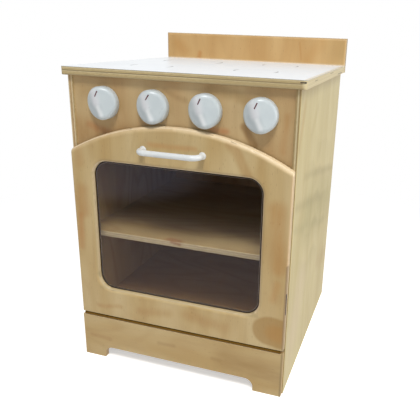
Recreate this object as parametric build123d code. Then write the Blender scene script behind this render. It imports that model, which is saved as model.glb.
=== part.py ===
from build123d import *
import math
import os

# Child's play stove in plywood: a cabinet with a laminated hob, four turning
# knobs, and a bottom-hung oven door on a continuous hinge.
#
# Working axes while modelling: X across, centred on the cabinet; Y from the
# front face of the closed door towards the back; Z up from the floor.
# The finished pieces are moved so that the origin is at the bottom centre.

# ---- Driving sizes, millimetres ----

# Cabinet
carcass_width = 454.0
carcass_height = 607.5        # floor to the underside of the hob board
side_depth = 463.7
side_ply = 9.0
control_panel_height = 149.5
control_panel_ply = 12.0
control_panel_recess = 3.0    # behind the front edges of the side panels
floor_ply = 12.0
shelf_ply = 12.0
shelf_height = 290.0          # floor to the top of the shelf
shelf_setback = 17.7          # behind the front edges of the side panels
back_ply = 6.0
back_setback = 4.0            # in from the rear edges of the side panels
rear_rail_height = 60.0
rear_rail_ply = 12.0

# Hob and backsplash
hob_width = 474.0
hob_ply = 15.0
hob_front_overhang = 7.3      # ahead of the front edges of the side panels
hob_corner_radius = 6.0
laminate = 0.8
backsplash_rise = 63.0        # above the hob surface
backsplash_ply = 12.0
backsplash_roundover = 6.0
arris = 1.2                   # rounding on the sawn edges in reach of hands

# Door
door_width = 450.0
door_ply = 12.0
door_overlap = 8.7            # how far the door's shoulders cover the control panel
arch_rise = 59.5
door_seat = 0.3               # air between closed door and side panels
door_arch_roundover = 9.0
door_side_roundover = 3.5
window_width = 349.0
window_offset = -3.7          # cut this far off the middle of the door
window_drop = 19.3            # door shoulders down to the top of the window
window_rise = 63.9            # door bottom edge to the bottom of the window
window_corner = 30.0
window_roundover = 8.0
pane_thickness = 3.0
pane_rebate = 9.0             # width of the ledge that the pane lies on
pane_clearance = 0.5
pane_screw_inset = 4.5        # from the edge of the rebate to the screw line
pane_screw_count = 3          # along each edge of the pane

# Plinth
plinth_height = 99.0
plinth_ply = 12.0
plinth_left_foot = 50.0
plinth_right_foot = 59.4
plinth_arch = 25.5
plinth_arch_corner = 18.0
plinth_block_height = 60.0
plinth_block_lift = 10.0

# Battens inside the cabinet
batten = 18.0
shelf_batten = 12.0
batten_end_gap = 14.0         # from each batten's ends to the boards near it

# Continuous hinge
hinge_end_inset = 5.0
hinge_sheet = 1.5
hinge_pin_radius = 2.0
hinge_pin_fit = 0.05
hinge_knuckles = 17
hinge_knuckle_gap = 0.4
hinge_air = 0.3               # knuckle to the edges of the door and the plinth
hinge_screws_per_leaf = 5

# Handle
handle_centres = 120.0
handle_offset = -5.6          # from the middle of the door
handle_bar_radius = 5.5
handle_reach = 30.0           # door face to the front of the bar
handle_bend = 15.0
handle_rise = 13.0            # above the shoulders of the door
handle_foot_radius = 7.2
handle_foot_length = 4.5

# Knobs
knob_count = 4
knob_spacing = 103.3
knob_drop = 48.0              # underside of the hob board to the knob axis
knob_row_offset = 3.6
knob_radius = 31.2
knob_height = 23.0
knob_slope_fall = 11.5        # from the ridge down to the rim
knob_ridge_blend = 22.0
knob_rim_blend = 8.5
knob_air = 0.3
knob_wall = 4.5
knob_recess_depth = 4.0
knob_boss_radius = 9.0
knob_ridge_tilt = 13.0        # degrees that the ridge leans to the left
knob_rest_turns = (0, -6, 3, 3)
pointer_length = 12.0
pointer_width = 2.2
pointer_depth = 1.0
pointer_radius = 18.5         # from the knob axis to the middle of the pointer
pointer_slant = 28.0          # degrees from the upright
spindle_radius = 4.0
spindle_fit = 0.08
spindle_depth_in_knob = 13.0
spindle_tail = 2.0            # past the lock nut
washer_radius = 10.0
washer_thickness = 1.6
locknut_across_flats = 13.0
locknut_height = 8.0

# Magnetic catch
catch_height = 46.0
catch_depth = 15.0
catch_width = 13.0
catch_drop = 20.3             # control panel down to the top of the catch
catch_air = 0.3
catch_magnet_height = 22.0
catch_magnet_width = 7.0
catch_ear = 9.0
catch_ear_thickness = 3.0
strike_thickness = 1.2
strike_width = 11.0
strike_height = 36.0

# Fasteners: head radius, head height, shank radius and length
joiner_screw = dict(head_r=3.8, head_h=2.4, shank_r=2.0, length=24.0)
shelf_screw = dict(head_r=3.8, head_h=2.4, shank_r=2.0, length=18.0)
small_screw = dict(head_r=2.7, head_h=1.6, shank_r=1.4, length=10.0)
hinge_screw = dict(head_r=2.6, head_h=1.3, shank_r=1.3, length=13.0)
handle_screw = dict(head_r=4.0, head_h=2.3, shank_r=2.0, length=20.0)
pane_screw_head_r = 3.2
pane_screw_head_h = 1.8
pane_screw_shank_r = 1.5
pane_screw_length = 7.0
screw_fit = 0.05

# ---- Places worked out from the sizes ----

side_front = door_ply + door_seat
side_rear = side_front + side_depth
inner_half = carcass_width / 2 - side_ply

hinge_knuckle_radius = hinge_pin_radius + hinge_pin_fit + hinge_sheet
hinge_y = hinge_knuckle_radius
hinge_z = plinth_height + hinge_air + hinge_knuckle_radius
hinge_length = door_width - 2 * hinge_end_inset

door_bottom = hinge_z + hinge_knuckle_radius + hinge_air

plinth_front = side_front - plinth_ply
floor_top = door_bottom
floor_bottom = floor_top - floor_ply
floor_front = side_front + door_seat
shelf_front = side_front + shelf_setback
shelf_bottom = shelf_height - shelf_ply
back_rear = side_rear - back_setback
back_front = back_rear - back_ply
panel_face = side_front + control_panel_recess
panel_rear = panel_face + control_panel_ply
panel_bottom = carcass_height - control_panel_height

door_shoulder = panel_bottom + door_overlap
window_bottom = door_bottom + window_rise
window_height = door_shoulder - window_drop - window_bottom
window_centre = window_bottom + window_height / 2

hob_front = side_front - hob_front_overhang
hob_rear = side_rear - backsplash_ply
hob_top = carcass_height + hob_ply
laminate_top = hob_top + laminate
backsplash_top = laminate_top + backsplash_rise

knob_z = carcass_height - knob_drop
knob_seat = panel_face - knob_air
knob_xs = [knob_row_offset + (i - (knob_count - 1) / 2) * knob_spacing for i in range(knob_count)]

handle_z = door_shoulder + handle_rise
catch_bottom = panel_bottom - catch_drop - catch_height
catch_front = door_ply + strike_thickness + catch_air

# The origin goes to the middle of the space between handle and rear edge.
row_shift = Pos(0, -(side_rear - handle_reach) / 2, 0)


# ---- Helpers ----

def slab(x0, x1, y0, y1, z0, z1):
    middle = Pos((x0 + x1) / 2, (y0 + y1) / 2, (z0 + z1) / 2)
    return middle * Box(x1 - x0, y1 - y0, z1 - z0)


# A flat board cut from an outline in X and Z, from y_front backwards.
def board(outline, y_front, thickness):
    face_plane = Plane(origin=(0, y_front, 0), x_dir=(1, 0, 0), z_dir=(0, -1, 0))
    return extrude(face_plane * outline, amount=-thickness)


def pair(piece):
    return Compound([piece, mirror(piece, about=Plane.YZ)])


def facing(point, direction):
    return Plane(origin=point, z_dir=direction).location


# Head flush with the seat, shank going in behind it.
def countersunk(screw, fit=0.0):
    head = Pos(0, 0, -screw["head_h"] / 2) * Cone(
        screw["shank_r"] + fit, screw["head_r"] + fit, screw["head_h"])
    shank = Pos(0, 0, -screw["length"] / 2) * Cylinder(
        screw["shank_r"] + fit, screw["length"] + 2 * fit)
    return head + shank


def screws_at(seats, screw):
    return Compound([seat * countersunk(screw) for seat in seats])


def drilled(piece, seats, screw):
    for seat in seats:
        piece = piece - seat * countersunk(screw, screw_fit)
    return piece


def spread(low, high, count):
    step = (high - low) / (count - 1)
    return [low + i * step for i in range(count)]


# The edges of one face that lies across an axis, lowest or highest.
def rim_edges(piece, axis, place):
    return piece.faces().sort_by(axis)[place].edges()


def is_straight(edge):
    return edge.geom_type == GeomType.LINE


def save(name, shape):
    export_step(row_shift * shape, os.path.join("parts", name + ".step"))
    box = shape.bounding_box()
    print(f"{name}: {len(shape.solids())} solid(s), {box.size.X:.1f} x {box.size.Y:.1f} x {box.size.Z:.1f}")


# ---- Screw places ----

batten_ys = (side_front + control_panel_recess + control_panel_ply + batten_end_gap,
             back_front - batten_end_gap)
batten_screw_ys = spread(batten_ys[0] + 2 * batten_end_gap, batten_ys[1] - 2 * batten_end_gap, 2)


# Screws driven sideways through a batten into the side panel.
def side_seats(thickness, z):
    return [facing((side * (inner_half - thickness), y, z), (-side, 0, 0))
            for side in (-1, 1) for y in batten_screw_ys]


# Screws driven upwards through a batten into the board above it.
def up_seats(z_under):
    ys = [y + batten for y in batten_screw_ys]
    return [facing((side * (inner_half - batten / 2), y, z_under), (0, 0, -1))
            for side in (-1, 1) for y in ys]


hob_side_seats = side_seats(batten, carcass_height - batten / 2)
hob_up_seats = up_seats(carcass_height - batten)
floor_side_seats = side_seats(batten, floor_bottom - batten / 2)
floor_up_seats = up_seats(floor_bottom - batten)
shelf_side_seats = side_seats(shelf_batten, shelf_bottom - batten / 2)

hinge_screw_y = (hinge_y + hinge_knuckle_radius + plinth_front + plinth_ply) / 2
hinge_screw_xs = spread(-hinge_length / 2 + 2 * batten, hinge_length / 2 - 2 * batten,
                        hinge_screws_per_leaf)
lower_leaf_seats = [facing((x, hinge_screw_y, plinth_height + hinge_sheet), (0, 0, 1))
                    for x in hinge_screw_xs]
upper_leaf_seats = [facing((x, hinge_screw_y, door_bottom - hinge_sheet), (0, 0, -1))
                    for x in hinge_screw_xs]

handle_seats = [facing((handle_offset + side * handle_centres / 2, door_ply, handle_z), (0, 1, 0))
                for side in (-1, 1)]

strike_x = inner_half - catch_width / 2
strike_z = catch_bottom + catch_height / 2
strike_seats = [facing((strike_x, door_ply + strike_thickness, strike_z + offset), (0, 1, 0))
                for offset in (-strike_height / 3, strike_height / 3)]
catch_ear_y = catch_front + catch_depth + catch_ear / 2
catch_seats = [facing((inner_half - catch_ear_thickness, catch_ear_y, strike_z + offset), (-1, 0, 0))
               for offset in (-catch_height / 4, catch_height / 4)]


def pane_screw_points():
    half_w = window_width / 2 + pane_screw_inset
    half_h = window_height / 2 + pane_screw_inset
    reach_w = half_w - window_corner
    reach_h = half_h - window_corner
    points = [(x, side * half_h) for side in (-1, 1)
              for x in spread(-reach_w, reach_w, pane_screw_count)]
    points += [(side * half_w, z) for side in (-1, 1)
               for z in spread(-reach_h, reach_h, pane_screw_count)]
    return [(window_offset + x, window_centre + z) for x, z in points]


def pane_shank(x, z, fit=0.0):
    shank = Pos(0, 0, -pane_screw_length / 2) * Cylinder(
        pane_screw_shank_r + fit, pane_screw_length + 2 * fit)
    return facing((x, door_ply, z), (0, 1, 0)) * shank


# Pan heads bear on the back of the pane; only the shanks go through it.
def pane_screw(x, z):
    head = Pos(0, 0, pane_screw_head_h / 2) * Cylinder(pane_screw_head_r, pane_screw_head_h)
    return pane_shank(x, z) + facing((x, door_ply, z), (0, 1, 0)) * head


# ---- Cabinet ----

def side_panel():
    panel = slab(inner_half, carcass_width / 2, side_front, side_rear, 0, carcass_height)
    outer_face = panel.faces().sort_by(Axis.X)[-1]
    upright = outer_face.edges().filter_by(Axis.Z)
    return fillet(upright, arris)


def side_panels():
    seats = hob_side_seats + floor_side_seats
    right = drilled(side_panel(), seats, joiner_screw)
    right = drilled(right, shelf_side_seats, shelf_screw)
    left = mirror(right, about=Plane.YZ)
    right = drilled(right, catch_seats, small_screw)
    return left, right


def hob_outline():
    depth = hob_rear - hob_front
    plate = Pos(0, (hob_front + hob_rear) / 2) * Rectangle(hob_width, depth)
    front_corners = plate.vertices().sort_by(Axis.Y)[:2]
    return fillet(front_corners, hob_corner_radius)


def hob_board():
    plate = extrude(Pos(0, 0, carcass_height) * hob_outline(), amount=hob_ply)
    outer = rim_edges(plate, Axis.Z, 0).sort_by(Axis.Y)[:-1]
    plate = fillet(outer, arris)
    return drilled(plate, hob_up_seats, joiner_screw)


def hob_laminate():
    return extrude(Pos(0, 0, hob_top) * hob_outline(), amount=laminate)


def backsplash():
    plate = slab(-hob_width / 2, hob_width / 2, hob_rear, side_rear, carcass_height, backsplash_top)
    front_rim = rim_edges(plate, Axis.Y, 0).sort_by(Axis.Z)[1:]
    return fillet(front_rim, backsplash_roundover)


def control_panel():
    panel = slab(-inner_half, inner_half, panel_face, panel_rear, panel_bottom, carcass_height)
    for x in knob_xs:
        bore = Rot(90, 0, 0) * Cylinder(spindle_radius + spindle_fit, 3 * control_panel_ply)
        panel = panel - Pos(x, panel_face, knob_z) * bore
    return panel


def oven_floor():
    plate = slab(-inner_half, inner_half, floor_front, back_front, floor_bottom, floor_top)
    return drilled(plate, floor_up_seats, joiner_screw)


def oven_shelf():
    plate = slab(-inner_half, inner_half, shelf_front, back_front, shelf_bottom, shelf_height)
    front_rim = rim_edges(plate, Axis.Y, 0).filter_by(Axis.X)
    return fillet(front_rim, arris)


def back_panel():
    return slab(-inner_half, inner_half, back_front, back_rear, floor_bottom, carcass_height)


def rear_rail():
    return slab(-inner_half, inner_half, back_rear - rear_rail_ply, back_rear,
                floor_bottom - rear_rail_height, floor_bottom)


def side_battens(thickness, z_top):
    return slab(inner_half - thickness, inner_half, batten_ys[0], batten_ys[1], z_top - batten, z_top)


def hob_battens():
    bar = drilled(side_battens(batten, carcass_height), hob_side_seats + hob_up_seats, joiner_screw)
    return pair(bar)


def floor_battens():
    bar = drilled(side_battens(batten, floor_bottom), floor_side_seats + floor_up_seats, joiner_screw)
    return pair(bar)


def shelf_battens():
    bar = drilled(side_battens(shelf_batten, shelf_bottom), shelf_side_seats, shelf_screw)
    return pair(bar)


def front_plinth():
    opening = door_width - plinth_left_foot - plinth_right_foot
    opening_middle = (plinth_left_foot - plinth_right_foot) / 2
    face = Pos(0, plinth_height / 2) * Rectangle(door_width, plinth_height)
    face = face - Pos(opening_middle, 0) * RectangleRounded(opening, 2 * plinth_arch, plinth_arch_corner)
    plinth = board(face, plinth_front, plinth_ply)
    plinth = fillet(rim_edges(plinth, Axis.Y, 0).filter_by(Axis.Z), arris)
    return drilled(plinth, lower_leaf_seats, hinge_screw)


def plinth_blocks():
    block = slab(inner_half - batten, inner_half, side_front, side_front + batten,
                 plinth_block_lift, plinth_block_lift + plinth_block_height)
    long_edge = block.edges().filter_by(Axis.Z).group_by(Axis.X)[0].sort_by(Axis.Y)[-1]
    return pair(chamfer(long_edge, batten / 3))


# ---- Continuous hinge ----

# One leaf: a screw strip with every other knuckle rolled round the pin.
# strip_side is +1 for the leaf above the pin and -1 for the one below.
def hinge_leaf(strip_side, first_knuckle):
    strip_outer = hinge_z + strip_side * (hinge_knuckle_radius + hinge_air)
    strip_inner = strip_outer - strip_side * hinge_sheet
    strip_rear = (door_ply if strip_side > 0 else side_front)
    low, high = sorted((strip_outer, strip_inner))
    strip_front = hinge_y + hinge_knuckle_radius + hinge_air
    leaf = slab(-hinge_length / 2, hinge_length / 2, strip_front, strip_rear, low, high)
    pitch = (hinge_length + hinge_knuckle_gap) / hinge_knuckles
    knuckle_length = pitch - hinge_knuckle_gap
    for i in range(first_knuckle, hinge_knuckles, 2):
        x = -hinge_length / 2 + i * pitch + knuckle_length / 2
        roll = Rot(0, 90, 0) * Cylinder(hinge_knuckle_radius, knuckle_length)
        leaf = leaf + Pos(x, hinge_y, hinge_z) * roll
        leaf = leaf + slab(x - knuckle_length / 2, x + knuckle_length / 2, hinge_y, strip_front, low, high)
    bore = Rot(0, 90, 0) * Cylinder(hinge_pin_radius + hinge_pin_fit, 2 * hinge_length)
    return leaf - Pos(0, hinge_y, hinge_z) * bore


def hinge_lower_leaf():
    return drilled(hinge_leaf(-1, 0), lower_leaf_seats, hinge_screw)


def hinge_upper_leaf():
    return drilled(hinge_leaf(1, 1), upper_leaf_seats, hinge_screw)


def hinge_pin():
    return Pos(0, hinge_y, hinge_z) * Rot(0, 90, 0) * Cylinder(hinge_pin_radius, hinge_length)


# ---- Door ----

def door_outline():
    half = door_width / 2
    sides = Polyline((-half, door_shoulder), (-half, door_bottom), (half, door_bottom), (half, door_shoulder))
    arch = ThreePointArc((half, door_shoulder), (0, door_shoulder + arch_rise), (-half, door_shoulder))
    return make_face([sides, arch])


def window_shape(margin):
    shape = RectangleRounded(window_width + 2 * margin, window_height + 2 * margin, window_corner + margin)
    return Pos(window_offset, window_centre) * shape


def door_panel():
    panel = board(door_outline(), 0, door_ply)
    panel = fillet(rim_edges(panel, Axis.Y, 0).sort_by(Axis.Z)[-1], door_arch_roundover)
    uprights = rim_edges(panel, Axis.Y, 0).filter_by(Axis.Z)
    panel = fillet(uprights, door_side_roundover)
    panel = fillet(rim_edges(panel, Axis.Y, 0).sort_by(Axis.Z)[0], arris)
    panel = panel - board(window_shape(0), 0, door_ply)
    front_face = panel.faces().sort_by(Axis.Y)[0]
    panel = fillet(front_face.inner_wires()[0].edges(), window_roundover)
    panel = panel - board(window_shape(pane_rebate), door_ply - pane_thickness, pane_thickness)
    for x, z in pane_screw_points():
        panel = panel - pane_shank(x, z, screw_fit)
    panel = drilled(panel, upper_leaf_seats, hinge_screw)
    panel = drilled(panel, handle_seats, handle_screw)
    return drilled(panel, strike_seats, small_screw)


def window_pane():
    pane = board(window_shape(pane_rebate - pane_clearance), door_ply - pane_thickness, pane_thickness)
    for x, z in pane_screw_points():
        pane = pane - pane_shank(x, z, screw_fit)
    return pane


def pane_screws():
    return Compound([pane_screw(x, z) for x, z in pane_screw_points()])


# A round bar bent back at both ends to feet that flare on the door.
def door_handle():
    bar_y = handle_bar_radius - handle_reach
    half = handle_centres / 2
    route = FilletPolyline((-half, 0, 0), (-half, bar_y, 0), (half, bar_y, 0), (half, 0, 0),
                           radius=handle_bend)
    section = Plane(origin=(-half, 0, 0), z_dir=(0, -1, 0)) * Circle(handle_bar_radius)
    bar = sweep(section, path=route)
    for side in (-1, 1):
        foot = Cone(handle_foot_radius, handle_bar_radius, handle_foot_length)
        place = Pos(side * half, -handle_foot_length / 2, 0) * Rot(90, 0, 0)
        bar = bar + place * foot
    return drilled(Pos(handle_offset, 0, handle_z) * bar, handle_seats, handle_screw)


def strike_plate():
    plate = slab(strike_x - strike_width / 2, strike_x + strike_width / 2, door_ply,
                 door_ply + strike_thickness, strike_z - strike_height / 2, strike_z + strike_height / 2)
    return drilled(plate, strike_seats, small_screw)


# ---- Magnetic catch ----

def catch_body():
    z_range = (catch_bottom, catch_bottom + catch_height)
    case = slab(inner_half - catch_width, inner_half, catch_front, catch_front + catch_depth, *z_range)
    case = fillet(case.edges().filter_by(Axis.Z).group_by(Axis.X)[0], arris)
    rear = catch_front + catch_depth
    ear = slab(inner_half - catch_ear_thickness, inner_half, rear, rear + catch_ear, *z_range)
    case = case + ear
    pocket = slab(strike_x - catch_magnet_width / 2, strike_x + catch_magnet_width / 2,
                  catch_front, catch_front + catch_depth / 2,
                  strike_z - catch_magnet_height / 2, strike_z + catch_magnet_height / 2)
    return drilled(case - pocket, catch_seats, small_screw)


def catch_magnet():
    return slab(strike_x - catch_magnet_width / 2, strike_x + catch_magnet_width / 2,
                catch_front, catch_front + catch_depth / 2,
                strike_z - catch_magnet_height / 2, strike_z + catch_magnet_height / 2)


# ---- Knobs, modelled with the axis along +Z and the panel at Z = 0 ----

# A disc whose front falls away in two slopes from a soft ridge.
def knob_blank():
    disc = Pos(0, 0, knob_height / 2) * Cylinder(knob_radius, knob_height)
    eaves = knob_height - knob_slope_fall
    reach = knob_radius + knob_air
    gable = Polyline((-reach, 0), (-reach, eaves), (0, knob_height), (reach, eaves), (reach, 0), close=True)
    slopes = extrude(Plane.XZ * make_face(gable), amount=2 * knob_radius, both=True)
    blank = disc & slopes
    ridge = blank.edges().filter_by(Axis.Y).sort_by(Axis.Z)[-1]
    blank = fillet(ridge, knob_ridge_blend)
    rim = [edge for edge in blank.edges() if edge.bounding_box().max.Z > eaves and not is_straight(edge)]
    blank = fillet(rim, knob_rim_blend)
    return Rot(0, 0, knob_ridge_tilt) * blank


def knob_moulding():
    blank = knob_blank()
    recess = Cylinder(knob_radius - knob_wall, knob_recess_depth)
    recess = recess - Cylinder(knob_boss_radius, knob_recess_depth)
    blank = blank - Pos(0, 0, knob_recess_depth / 2) * recess
    bore = Cylinder(spindle_radius + screw_fit, spindle_depth_in_knob)
    return blank - Pos(0, 0, spindle_depth_in_knob / 2) * bore


# The pointer fills a groove of even depth in the front of the knob.
def pointer_inlay(blank):
    skin = blank - Pos(0, 0, -pointer_depth) * blank
    stroke = Box(pointer_width, pointer_length, 2 * knob_height)
    middle = Rot(0, 0, knob_ridge_tilt) * Pos(0, pointer_radius, knob_height)
    stroke = middle * Rot(0, 0, -knob_ridge_tilt - pointer_slant) * stroke
    return skin & stroke


def spindle():
    reach = knob_air + control_panel_ply + knob_air + washer_thickness + locknut_height + spindle_tail
    length = spindle_depth_in_knob + reach
    rod = Pos(0, 0, spindle_depth_in_knob - length / 2) * Cylinder(spindle_radius, length)
    return chamfer(rod.edges().sort_by(Axis.Z)[0], spindle_radius / 5)


def washer():
    top = -(knob_air + control_panel_ply + knob_air)
    ring = Cylinder(washer_radius, washer_thickness) - Cylinder(spindle_radius + screw_fit, washer_thickness)
    return Pos(0, 0, top - washer_thickness / 2) * ring


def locknut():
    top = -(knob_air + control_panel_ply + knob_air + washer_thickness)
    hexagon = RegularPolygon(locknut_across_flats / 2, 6, major_radius=False)
    nut = extrude(hexagon - Circle(spindle_radius + screw_fit), amount=-locknut_height)
    return Pos(0, 0, top) * nut


def main():
    os.makedirs("parts", exist_ok=True)

    left_side, right_side = side_panels()
    save("left_side_panel", left_side)
    save("right_side_panel", right_side)
    save("hob_board", hob_board())
    save("hob_laminate", hob_laminate())
    save("backsplash", backsplash())
    save("control_panel", control_panel())
    save("oven_floor", oven_floor())
    save("oven_shelf", oven_shelf())
    save("back_panel", back_panel())
    save("rear_rail", rear_rail())
    save("front_plinth", front_plinth())
    save("plinth_blocks", plinth_blocks())
    save("hob_battens", hob_battens())
    save("floor_battens", floor_battens())
    save("shelf_battens", shelf_battens())
    save("hob_batten_screws", screws_at(hob_side_seats + hob_up_seats, joiner_screw))
    save("floor_batten_screws", screws_at(floor_side_seats + floor_up_seats, joiner_screw))
    save("shelf_batten_screws", screws_at(shelf_side_seats, shelf_screw))
    save("catch_body", catch_body())
    save("catch_magnet", catch_magnet())
    save("catch_screws", screws_at(catch_seats, small_screw))
    save("hinge_lower_leaf", hinge_lower_leaf())
    save("hinge_pin", hinge_pin())
    save("hinge_lower_screws", screws_at(lower_leaf_seats, hinge_screw))

    save("door_panel", door_panel())
    save("window_pane", window_pane())
    save("pane_screws", pane_screws())
    save("hinge_upper_leaf", hinge_upper_leaf())
    save("hinge_upper_screws", screws_at(upper_leaf_seats, hinge_screw))
    save("door_handle", door_handle())
    save("handle_screws", screws_at(handle_seats, handle_screw))
    save("strike_plate", strike_plate())
    save("strike_screws", screws_at(strike_seats, small_screw))

    moulding = knob_moulding()
    inlay = pointer_inlay(knob_blank())
    moulding = moulding - inlay
    knob_pieces = dict(knob=moulding, knob_pointer=inlay, knob_spindle=spindle(),
                       knob_washer=washer(), knob_locknut=locknut())
    for number, (x, turn) in enumerate(zip(knob_xs, knob_rest_turns), start=1):
        seat = Plane(origin=(x, knob_seat, knob_z), x_dir=(1, 0, 0), z_dir=(0, -1, 0)).location
        for name, piece in knob_pieces.items():
            save(f"{name}_{number}", seat * Rot(0, 0, turn) * piece)


main()
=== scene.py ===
import math
import bmesh
import bpy
from mathutils import Matrix, Vector


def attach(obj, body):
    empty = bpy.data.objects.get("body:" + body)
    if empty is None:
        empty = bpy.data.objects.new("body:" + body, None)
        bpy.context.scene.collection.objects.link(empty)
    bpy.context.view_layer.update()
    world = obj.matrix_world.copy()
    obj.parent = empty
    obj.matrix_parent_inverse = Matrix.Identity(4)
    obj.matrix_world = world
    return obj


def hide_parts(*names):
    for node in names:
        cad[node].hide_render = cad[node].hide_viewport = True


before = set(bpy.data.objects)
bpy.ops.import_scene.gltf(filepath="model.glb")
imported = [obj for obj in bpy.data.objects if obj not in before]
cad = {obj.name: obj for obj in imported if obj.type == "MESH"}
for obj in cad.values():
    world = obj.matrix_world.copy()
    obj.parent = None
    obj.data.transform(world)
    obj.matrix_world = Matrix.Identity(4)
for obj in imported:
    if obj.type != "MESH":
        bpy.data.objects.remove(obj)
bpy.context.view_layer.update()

print("frame loaded:", len(cad), "nodes")

mm = 0.001
xAxis, yAxis, zAxis = 0, 1, 2
noiseSpan = (0.3, 0.7)  # where nearly all values of a noise lie
tiny = 1e-6             # keeps a stroke of no length from a division by nothing
sameSpot = 1e-5         # metres within which two points count as one


# sRGB hex to linear colour
def colour(code):
    parts = [int(code[i:i + 2], 16) / 255 for i in (1, 3, 5)]
    return tuple(p / 12.92 if p <= 0.04045 else ((p + 0.055) / 1.055) ** 2.4 for p in parts) + (1.0,)


# sets or links a node's inputs, by order or by name; each is a value, a socket, or a node, which stands for
# the first of its outputs that is in use
def feed(tree, node, inputs):
    for key, value in inputs.items() if isinstance(inputs, dict) else enumerate(inputs):
        if isinstance(value, bpy.types.Node):
            value = next(socket for socket in value.outputs if socket.enabled)
        if isinstance(value, bpy.types.NodeSocket):
            tree.links.new(value, node.inputs[key])
        else:
            node.inputs[key].default_value = value


# one node with its settings and links
def addNode(tree, kind, inputs=(), **settings):
    node = tree.nodes.new(kind)
    for key, value in settings.items():
        setattr(node, key, value)
    feed(tree, node, inputs)
    return node


# a new material with its tree and its shader
def newMaterial(name):
    material = bpy.data.materials.new(name)
    material.use_nodes = True
    tree = material.node_tree
    return material, tree, tree.nodes["Principled BSDF"]


# a base colour under layers, each a colour and the share that it covers
def layered(tree, base, *layers):
    for tone, share in layers:
        base = addNode(tree, "ShaderNodeMix", {"Factor": share, "A": base, "B": tone}, data_type="RGBA")
    return base


# a pattern whose features have the given length, width and height
def stretchedNoise(tree, place, size, detail, rough=0.5):
    scaled = addNode(tree, "ShaderNodeMapping", {"Vector": place, "Scale": [1 / side for side in size]})
    return addNode(tree, "ShaderNodeTexNoise", {"Vector": scaled, "Scale": 1, "Detail": detail, "Roughness": rough})


# colour, roughness, and a fine relief by its strength and its depth in metres
def setSurface(tree, shader, body, rough, height, relief, others):
    bump = addNode(tree, "ShaderNodeBump", {"Height": height, "Strength": relief[0], "Distance": relief[1]})
    feed(tree, shader, {"Base Color": body, "Roughness": rough, "Normal": bump, **others})


# one CAD node in one material
def dress(node, material):
    slots = cad[node].data.materials
    slots.clear()
    slots.append(material)


# place in mm and turns in degrees
cameraSet = dict(place=(403.4, -1074.1, 696.5), turn=16.91, tip=18.81, roll=1.93, lens=44.4, sensor=36,
                 shift=(-0.0912, -0.006), clip=(0.05, 60))


def makeCamera(s):
    turn, tip, roll = (math.radians(s[k]) for k in ("turn", "tip", "roll"))
    ahead = Vector((-math.sin(turn) * math.cos(tip), math.cos(turn) * math.cos(tip), -math.sin(tip)))
    level = ahead.cross(Vector((0, 0, 1))).normalized()
    upright = level.cross(ahead)
    right = math.cos(roll) * level + math.sin(roll) * upright
    up = math.cos(roll) * upright - math.sin(roll) * level
    data = bpy.data.cameras.new("camera")
    data.lens, data.sensor_width = s["lens"], s["sensor"]
    data.shift_x, data.shift_y = s["shift"]
    data.clip_start, data.clip_end = s["clip"]
    camera = bpy.data.objects.new("camera", data)
    turned = Matrix((right, up, -ahead)).transposed().to_4x4()
    camera.matrix_world = Matrix.Translation(Vector(s["place"]) * mm) @ turned
    bpy.context.collection.objects.link(camera)
    bpy.context.scene.camera = camera


lampSet = {
    "keyLamp": dict(place=(0.8, -2.6, 4.8), aim=(0, -0.1, 0.4), size=1.5, power=160),
    "sideLamp": dict(place=(3.2, -0.4, 1.1), aim=(0.2, 0, 0.3), size=2.4, power=44),
}


def makeLamp(name, s):
    data = bpy.data.lights.new(name, "AREA")
    data.shape, data.size, data.energy = "DISK", s["size"], s["power"]
    lamp = bpy.data.objects.new(name, data)
    lamp.location = s["place"]
    lamp.rotation_euler = (Vector(s["aim"]) - lamp.location).to_track_quat("-Z", "Y").to_euler()
    bpy.context.collection.objects.link(lamp)


studio = dict(ambient=0.35, behind=1.0, floorSize=12.0, floorTone="#F2F2F0", floorRough=0.9, floorGloss=0.1,
              floorLift=0.5, fade=(0.45, 1.3), nearLevel=0.86, farLevel=0.1, turnsNear=(-1.2, -0.9),
              nearTone="#E8DEE4", cardPlace=(-0.92, -1.5, 0), cardReach=(0.55, 0.2), cardTone="#BAC0DC")


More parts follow.
